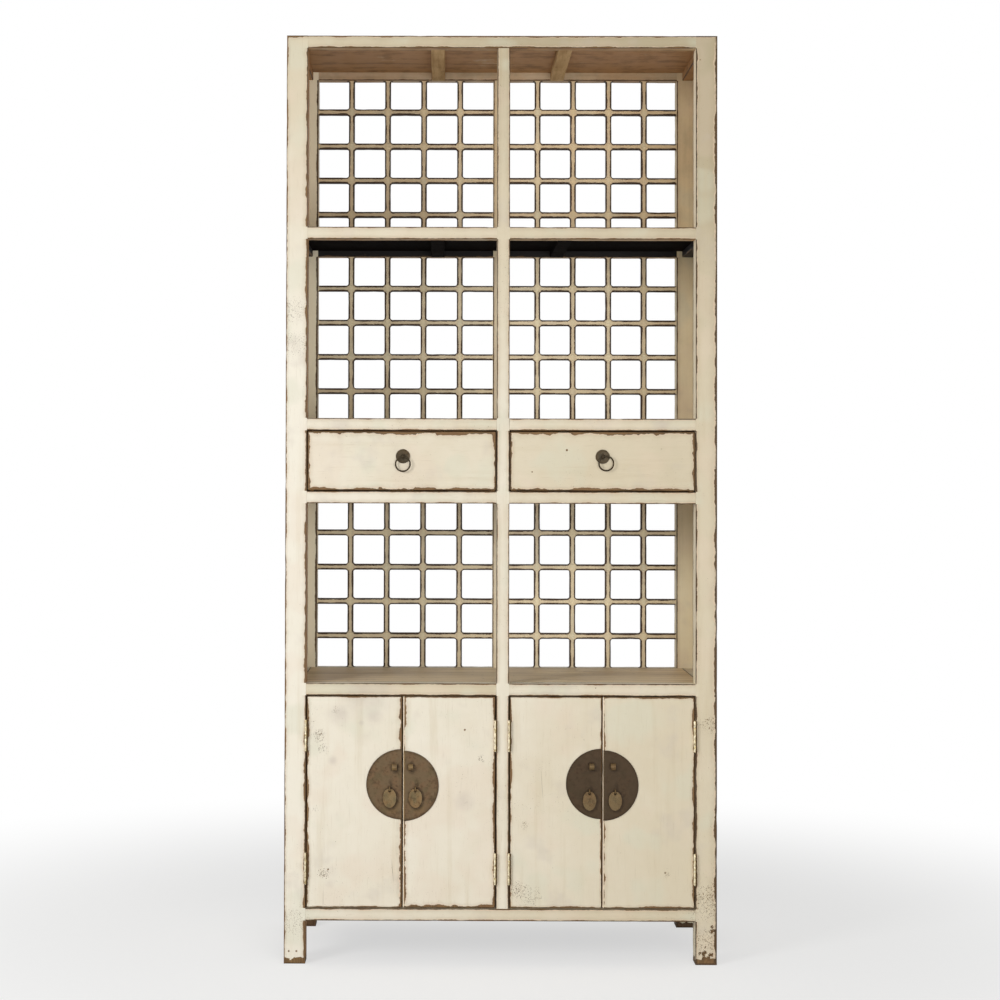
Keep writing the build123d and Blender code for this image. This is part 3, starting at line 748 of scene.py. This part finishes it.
door = {"wear": 6.0 * mm, "rimWidth": 0.9 * mm, "round": 2.0 * mm, "tone": 0.5,
        "bare": {"back": 1.0, "left": onBatten, "right": onBatten, "up": onBatten, "down": onBatten}}
boards = [
    # nodes, finish, and what differs from an ordinary board
    # tone adds to the yellowing; where it rises to the right or upwards it is partly painted shade
    (["front_left_post"], "creamUpright",
     {"wear": 4.2 * mm, "ease": ((1.4, 1, 1), (1, 1, 1)), "tone": 0.5, "joined": (nowhere, (1, 1, 0)),
      "glazeAndShade": {"right": 2.2, "back": 0.3}}),
    (["front_right_post"], "creamUpright",
     {"wear": 3.2 * mm, "rimWidth": 3.0 * mm, "ease": ((1, 1, 1), (0.6, 1, 1)), "tone": (0.4, 0.75),
      "joined": ((1, 0, 0), (0, 1, 0)), "glazeAndShade": {"back": 0.3}, "paintedLight": {"left": 1.0}}),
    (["back_left_post"], "creamInside",
     {"wear": 4.4 * mm, "tone": -0.4, "joined": ((0, 1, 0), (1, 0, 0)),
      "glazeAndShade": {"back": 0.2, "left": 0.2, "right": 0.2}, "paintedLight": {"front": 1.0}}),
    (["back_right_post"], "creamInside",
     {"tone": 0.0, "joined": ((1, 1, 0), nowhere),
      "glazeAndShade": {"front": (0.0, 0.3), "back": 0.2, "left": 0.2, "right": 0.2}}),
    (["front_centre_stile"], "creamUpright",
     {"wear": 2.2 * mm, "tone": (0.4, 0.75), "joined": ((1, 0, 0), (1, 0, 0)), "glazeAndShade": {"back": 0.5}}),
    (["back_centre_stile"], "creamInside",
     {"wear": 2.4 * mm, "tone": 0.2, "joined": ((1, 0, 0), (1, 0, 0)), "glazeAndShade": {"front": (0.0, 0.4)}}),
    (["top_front_rail"], "cream",
     {"wear": 3.2 * mm, "tone": lambda place: 0.8 + 2.0 * max(0, place.x), "glazeAndShade": {"down": 0.8},
      "bare": {"down": 0.3}}),
    (["cupboard_top_front_rails"], "cream",
     {"tone": lambda place: 1.2 if place.x < 0 else 0.5, "glazeAndShade": {"down": 0.8}, "paintedLight": {"up": 1.0}}),
    (["shelf_front_rails", "drawer_top_front_rails", "drawer_bottom_front_rails", "bottom_front_rail"],
     "cream",
     {"tone": 0.65, "glazeAndShade": {"down": 0.8}, "paintedLight": {"up": 1.0}, "bare": {"down": 0.4}}),
    (["back_rails"], "cream",
     {"wear": 2.4 * mm, "tone": 0.3, "glazeAndShade": {"front": (0.1, 0.5), "down": 0.8},
      "blackShade": {"front": underShelf}}),
    (["left_side_rails"], "cream",
     {"tone": 0.4, "glazeAndShade": {"left": 0.1, "right": 2.0, "down": 2.0},
      "blackShade": {"right": underShelf, "down": underShelf}}),
    (["right_side_rails"], "cream",
     {"tone": 0.4, "glazeAndShade": {"left": 1.2, "right": 0.1, "down": 2.0},
      "blackShade": {"left": underShelf, "down": underShelf}}),
    (["left_side_panels"], "cream", {"wear": 0.8 * mm, "tone": 0.1}),
    (["right_side_panels"], "cream",
     {"wear": 0.8 * mm, "tone": 0.1, "paintedLight": {"left": 0.8}, "glazeAndShade": {"left": (0.0, 0.35)}}),
    (["back_boards"], "cream", {"wear": 1.0 * mm, "tone": 0.5, "glazeAndShade": {"front": 1.0}}),
    (["board_battens"], "batten",     # black but for the top ones
     {"tone": lambda place: 0.9 if place.z > cadHigh.z - 0.1 else 0.0, "vary": 0}),
    (["cupboard_top_board", "drawer_top_board", "drawer_floor_board", "cupboard_floor_board", "shelf_board"],
     "shelf", {"tone": 0.0, "vary": 0, "bare": {"up": 1.0}}),
    (["top_panel"], "cream", {"wear": 1.6 * mm, "tone": 0.4, "glazeAndShade": {"down": 2.0}}),
    (["drawer_guides", "stops"], "wood", {"tone": 0.8}),
    (["left_drawer_box", "right_drawer_box"], "wood", {"tone": 1.0, "round": 0.8 * mm, "bare": {"up": 1.0}}),
    (["left_drawer_front", "right_drawer_front"], "cream",
     {**door, "wear": 5.5 * mm, "tone": 0.8, "ease": ((1, 1, 1), (1, 1, 0.8))}),
    (["left_cupboard_left_door"], "cream", {**door, "ease": ((1.3, 1, 2.4), (1, 1, 3))}),
    (["left_cupboard_right_door"], "cream", {**door, "arrisHighlight": 1, "ease": ((1, 1, 1), (1.3, 1, 3))}),
    (["right_cupboard_left_door"], "cream", {**door, "ease": ((1.5, 1, 1.7), (2.2, 1, 2.4))}),
    (["right_cupboard_right_door"], "cream", {**door, "arrisHighlight": 1, "ease": ((1.1, 1, 1.5), (1.4, 1, 1.8))}),
    ([f"{level}_{bay}_lattice" for level in ("lower", "middle", "upper") for bay in ("left", "right")],
     "lattice",
     {"wear": 4.0 * mm, "tone": -0.1, "vary": 0.2, "round": 1.2 * mm, "waver": 0.15 * mm, "dent": 1.0 * mm,
      "cut": 12 * mm, "fillets": True, "bare": {"left": 0.55, "right": 0.55, "up": 0.5, "down": 0.7}}),
]
for boardNodes, boardFinish, changes in boards:
    for boardNode in boardNodes:
        addPiece(boardNode, boardMesh(boardNode, {**board, **changes}), boardFinish)
print("boards dressed")


fitting = {
    "flatness": 0.5, "sharpAngle": 50, "smoothAngle": 40,      # degrees
    "round": 0.3 * mm, "hammered": 0.12 * mm, "hammeredScale": 260, "shade": 0,
    "rubbedAndHighlit": 0, "dark": 0,       # a hinge's knuckles carry a painted highlight on their left and a painted shadow on their right
    "sideReach": 1.4 * mm,
}


def breakSharpEdges(bm, width):
    sharp = math.radians(fitting["sharpAngle"])
    breakEdges(bm, [edge for edge in bm.edges if edge.calc_face_angle(0) > sharp], width)


def smoothByAngle(bm, degrees):
    for edge in bm.edges:
        edge.smooth = edge.calc_face_angle(0) < math.radians(degrees)
    for face in bm.faces:
        face.smooth = True


def nothing(place):
    return 0


def finishMetal(bm, node, index, edgeOf=nothing, rubbedAndHighlitOf=nothing, paintedShadowOf=nothing, shade=0):
    seed = seedFor(node, index)
    store(bm, "float_vector", "seed", lambda place: seed)
    store(bm, "float", "edge", edgeOf)
    store(bm, "float", "rubbedAndHighlit", rubbedAndHighlitOf)
    store(bm, "float", "paintedShadow", paintedShadowOf)
    store(bm, "float", "shade", lambda place: shade)


def sideShare(place, middle, sign):
    # from a quarter at the middle of a knuckle to 1 a little to its left or right
    return max(0, min(1, sign * (place.x - middle.x) / fitting["sideReach"] + 0.25))


def fittingMesh(node, look):
    # a fitting as it is, with its sharp edges broken and its surface a little uneven
    parts = []
    for index, triangles in enumerate(solidsOf(node)):
        bm = mergedSolid(triangles, look["flatness"])
        breakSharpEdges(bm, look["round"])
        seed = seedFor(node, index)
        middle = sum((v.co for v in bm.verts), Vector()) / len(bm.verts)
        for v in bm.verts:
            inward = (middle - v.co).normalized()
            v.co += inward * look["hammered"] * (noise.noise(v.co * look["hammeredScale"] + seed) * 0.5 + 0.5)
        smoothByAngle(bm, look["smoothAngle"])
        # a hinge knuckle gets painted shadow on its right and a painted highlight on its left
        finishMetal(bm, node, index, lambda place: look["dark"] * sideShare(place, middle, 1),
                    lambda place: look["rubbedAndHighlit"] * sideShare(place, middle, -1), shade=look["shade"])
        parts.append(bm)
    return joinMeshes(parts, node)


doors = [f"{bay}_cupboard_{side}" for bay in ("left", "right") for side in ("left", "right")]
fittings = [
    (["frame_hinge_leaves"] + [name + "_hinge_leaves" for name in doors], "hinge_brass",
     {"hammered": 0.0, "rubbedAndHighlit": 1.6, "dark": 1.6}),
    (["left_pull_plate", "right_pull_plate"], "dark_brass", {"round": 0.4 * mm, "shade": 0.35}),
    (["left_pull_ring", "right_pull_ring"], "dark_brass", {"shade": 0.5}),
]
for fittingNodes, fittingFinish, changes in fittings:
    for fittingNode in fittingNodes:
        addPiece(fittingNode, fittingMesh(fittingNode, {**fitting, **changes}), fittingFinish)
print("hinges and ring pulls dressed")

plate = {
    "round": 0.5 * mm, "knobRound": 0.35 * mm, "grid": 2.5 * mm,
    "beaten": 0.25 * mm, "beatenScale": 60,
    "leastHeight": 0.1,                                  # the disc is higher than this, its staples aren't
    "darkRim": 6 * mm,
    "highlightEdge": 0.8 * mm, "highlightLevel": 1.6,             # a painted highlight along the right half's meeting edge
    "rubReach": 22 * mm, "rubShift": (4 * mm, 6 * mm),   # from the tip of the leaf
    "knobRubbed": 0.8,
    "shadowReach": 5.5 * mm, "shadowShift": Vector((2.4 * mm, 0, -2.4 * mm)),
    "discShade": {"left": 0, "right": 0.76}, "knobShade": {"left": 0, "right": 0.3},
}


def paintedShadowAround(place, boxes):
    # painted shadow round each pull and staple, cast below and to the right
    most = 0
    for low, high in boxes:
        middle = (low + high) / 2 + plate["shadowShift"]
        half = (high - low) / 2
        away = math.hypot((place.x - middle.x) / half.x, (place.z - middle.z) / half.z) - 1
        most = max(most, 1 - max(0, away) * min(half.x, half.z) / plate["shadowReach"])
    return most


def dressDisc(bm, node, index, leafBox, darkened):
    # half a disc, beaten, darker towards its rim and rubbed by its leaf, with a painted highlight on a right
    # half's meeting edge and painted shadow round its fittings
    low, high = boxOf(bm)
    bay, _, side = node.split("_")[:3]
    breakSharpEdges(bm, plate["round"])
    for axis in (0, 2):
        cutAcross(bm, axis, low, high, plate["grid"])
    radius = (high.z - low.z) / 2
    centre = Vector((high.x if side == "left" else low.x, 0, (high.z + low.z) / 2))
    leafLow, leafHigh = leafBox
    rubX = (leafLow.x + leafHigh.x) / 2 + plate["rubShift"][0]
    rubZ = leafLow.z + plate["rubShift"][1]
    seed = seedFor(node, 0)
    for v in bm.verts:
        if v.co.y < low.y + plate["round"]:
            v.co.y += plate["beaten"] * (noise.noise(v.co * plate["beatenScale"] + seed) * 0.5 + 0.5)

    def edgeOf(place):
        away = math.hypot(place.x - centre.x, place.z - centre.z)
        return max(0, 1 - (radius - away) / plate["darkRim"])

    def rubbedAndHighlitOf(place):
        # a painted highlight along the right half's meeting edge
        if side == "right" and place.x < low.x + plate["highlightEdge"]:
            return plate["highlightLevel"]
        return max(0, 1 - math.hypot(place.x - rubX, place.z - rubZ) / plate["rubReach"])
    smoothByAngle(bm, fitting["smoothAngle"])
    finishMetal(bm, node, index, edgeOf, rubbedAndHighlitOf, lambda place: paintedShadowAround(place, darkened),
                plate["discShade"][bay])


def dressKnob(bm, node, index):
    # a staple or an eye
    breakSharpEdges(bm, plate["knobRound"])
    smoothByAngle(bm, fitting["smoothAngle"])
    finishMetal(bm, node, index, rubbedAndHighlitOf=lambda place: plate["knobRubbed"],
                shade=plate["knobShade"][node.split("_")[0]])


def lockPlateMesh(node):
    # half a lock plate with its staple and its eye
    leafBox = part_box(node.replace("lock_plate", "leaf_pull"))
    solids = [mergedSolid(triangles, fitting["flatness"]) for triangles in solidsOf(node)]
    boxes = [boxOf(bm) for bm in solids]
    isDisc = [high.z - low.z > plate["leastHeight"] for low, high in boxes]
    darkened = [box for box, disc in zip(boxes, isDisc) if not disc] + [leafBox]
    for index, bm in enumerate(solids):
        if isDisc[index]:
            dressDisc(bm, node, index, leafBox, darkened)
        else:
            dressKnob(bm, node, index)
    return joinMeshes(solids, node)


leaf = {
    "cut": ((0, 0.24), (0.12, 0.72), (0.42, 1), (0.78, 0.66), (1, 0)),   # half the solid's edge, downwards
    "widestAt": 0.48, "ovalUp": 0.5184, "ovalDown": 0.52,                # the oval that it gets instead
    "shade": {"left": 0.14, "right": 0.45}, "grid": 0.8 * mm, "round": 0.35 * mm, "smoothAngle": 45,
    "dome": 0.7 * mm,
    "rib": 0.45 * mm, "ribWidth": 0.8 * mm, "vein": 0.3 * mm, "veinStep": 5.2 * mm, "veinRise": 1.0,
    "frontDepth": 0.2 * mm,                              # the front face lies this far before the middle
}


def cutShare(down):
    # how wide the solid is at a height, as a share of its widest
    for (startDown, start), (endDown, end) in zip(leaf["cut"], leaf["cut"][1:]):
        if down <= endDown:
            return start + (end - start) * (down - startDown) / (endDown - startDown)
    return 0


def ovalShare(down):
    # and how wide the oval is
    above = leaf["widestAt"] - down
    reach = leaf["ovalUp"] if above > 0 else leaf["ovalDown"]
    return math.sqrt(max(0, 1 - (above / reach) ** 2))


def leafMesh(node):
    # a cast leaf: an oval, domed, with a raised rib down the middle and veins that rise to both sides
    bm = mergedSolid(solidsOf(node)[0], fitting["flatness"])
    breakSharpEdges(bm, leaf["round"])
    low, high = boxOf(bm)
    for axis in (0, 2):
        cutAcross(bm, axis, low, high, leaf["grid"])
    middle = (low + high) / 2
    halfWidth = (high.x - low.x) / 2
    for v in bm.verts:
        down = (high.z - v.co.z) / (high.z - low.z)
        share = min(1, abs(v.co.x - middle.x) / halfWidth / max(cutShare(down), 0.02)) * ovalShare(down)
        across = share * halfWidth
        v.co.x = middle.x + math.copysign(across, v.co.x - middle.x)
        rib = math.exp(-(across / leaf["ribWidth"]) ** 2)
        phase = (v.co.z - low.z - across * leaf["veinRise"]) / leaf["veinStep"]
        vein = (0.5 - 0.5 * math.cos(2 * math.pi * phase)) ** 3 * (1 - share ** 4)
        if v.co.y < middle.y - leaf["frontDepth"]:
            v.co.y += leaf["dome"] * share ** 2 + leaf["vein"] * vein + leaf["rib"] * (1 - rib)
    smoothByAngle(bm, leaf["smoothAngle"])
    finishMetal(bm, node, 0, shade=leaf["shade"][node.split("_")[0]])
    return joinMeshes([bm], node)


for name in doors:
    addPiece(name + "_lock_plate", lockPlateMesh(name + "_lock_plate"), "aged_brass")
    addPiece(name + "_leaf_pull", leafMesh(name + "_leaf_pull"), "leaf_brass")
print("lock plates and leaf pulls dressed")


studio = {
    "floorColour": (246, 246, 244),
    "floorSize": 14,
    "floorGlow": 0.6,            # how much white the floor shows the camera by itself, near the object
    "fadeFrom": 0.75,            # metres from the middle, where the floor starts to fade to white
    "fadeTo": 2.2,
    "worldLight": 0.375,
    "keyPlace": (-2.7, -3.0, 1.9),
    "keySize": 1.2,
    "keyPower": 60,
    "fillPlace": (0.7, -3.6, 0.9),
    "fillSize": 2.0,
    "fillPower": 42,
    "target": (0, 0, 1.0),
}
white = (1, 1, 1, 1)


def makeFloor():
    bm = bmesh.new()
    bmesh.ops.create_grid(bm, x_segments=1, y_segments=1, size=studio["floorSize"] / 2)
    mesh = bpy.data.meshes.new("floor")
    bm.to_mesh(mesh)
    bm.free()
    f = Finish("floorWhite")
    matt = f.node("BsdfDiffuse", {"Color": screenColour(*studio["floorColour"])})
    glow = f.node("Emission", {"Color": white, "Strength": 1.0})
    away = f.vector("LENGTH", f.place).output("Value")
    far = f.fade(away, studio["fadeFrom"], studio["fadeTo"])
    whiteness = studio["floorGlow"] + far * (1 - studio["floorGlow"])
    seen = f.node("LightPath", output="Is Camera Ray")
    mesh.materials.append(f.finished(f.node("MixShader", {0: seen * whiteness, 1: matt, 2: glow})))
    floor = bpy.data.objects.new("floor", mesh)
    bpy.context.scene.collection.objects.link(floor)


def makeWorld():
    # soft light all round, and white where the camera, gloss or glass looks past the object
    world = bpy.data.worlds.new("studio")
    bpy.context.scene.world = world
    world.use_nodes = True
    nodes = Nodes(world.node_tree)
    rays = nodes.node("LightPath")
    seen = rays.output("Is Camera Ray")
    for kind in ("Is Glossy Ray", "Is Transmission Ray"):
        seen = nodes.maths("MAXIMUM", seen, rays.output(kind))
    light = nodes.node("Background", {"Color": white, "Strength": studio["worldLight"]})
    backdrop = nodes.node("Background", {"Color": white, "Strength": 1.0})
    nodes.node("OutputWorld", {"Surface": nodes.node("MixShader", {0: seen, 1: light, 2: backdrop})})


def makeLamp(name):
    data = bpy.data.lights.new(name, "AREA")
    data.size = studio[name + "Size"]
    data.energy = studio[name + "Power"]
    lamp = bpy.data.objects.new(name, data)
    bpy.context.scene.collection.objects.link(lamp)
    lamp.location = studio[name + "Place"]
    lamp.rotation_euler = (Vector(studio["target"]) - lamp.location).to_track_quat("-Z", "Y").to_euler()


makeFloor()
makeWorld()
makeLamp("key")
makeLamp("fill")
bpy.context.scene.view_settings.view_transform = "Standard"

camera = {
    "place": (-0.118, -4.4918, 1.0246),
    "turn": 0.313,        # degrees to the left
    "tilt": 0.83,         # degrees upwards
    "roll": -0.146,
    "lens": 73.66,        # millimetres, as is the width of its frame
    "frameWidth": 36,
    "shift": (0.0661, -0.0549),
}


def makeCamera():
    data = bpy.data.cameras.new("camera")
    data.sensor_width = camera["frameWidth"]
    data.lens = camera["lens"]
    data.shift_x, data.shift_y = camera["shift"]
    made = bpy.data.objects.new("camera", data)
    bpy.context.scene.collection.objects.link(made)
    turn = Matrix.Rotation(math.radians(camera["turn"]), 4, "Z")
    tilt = Matrix.Rotation(math.radians(camera["tilt"]), 4, "X")
    roll = Matrix.Rotation(math.radians(camera["roll"]), 4, "Y")
    level = Matrix.Rotation(math.radians(90), 4, "X")
    made.matrix_world = Matrix.Translation(camera["place"]) @ turn @ tilt @ roll @ level
    bpy.context.scene.camera = made


makeCamera()
print("studio ready")
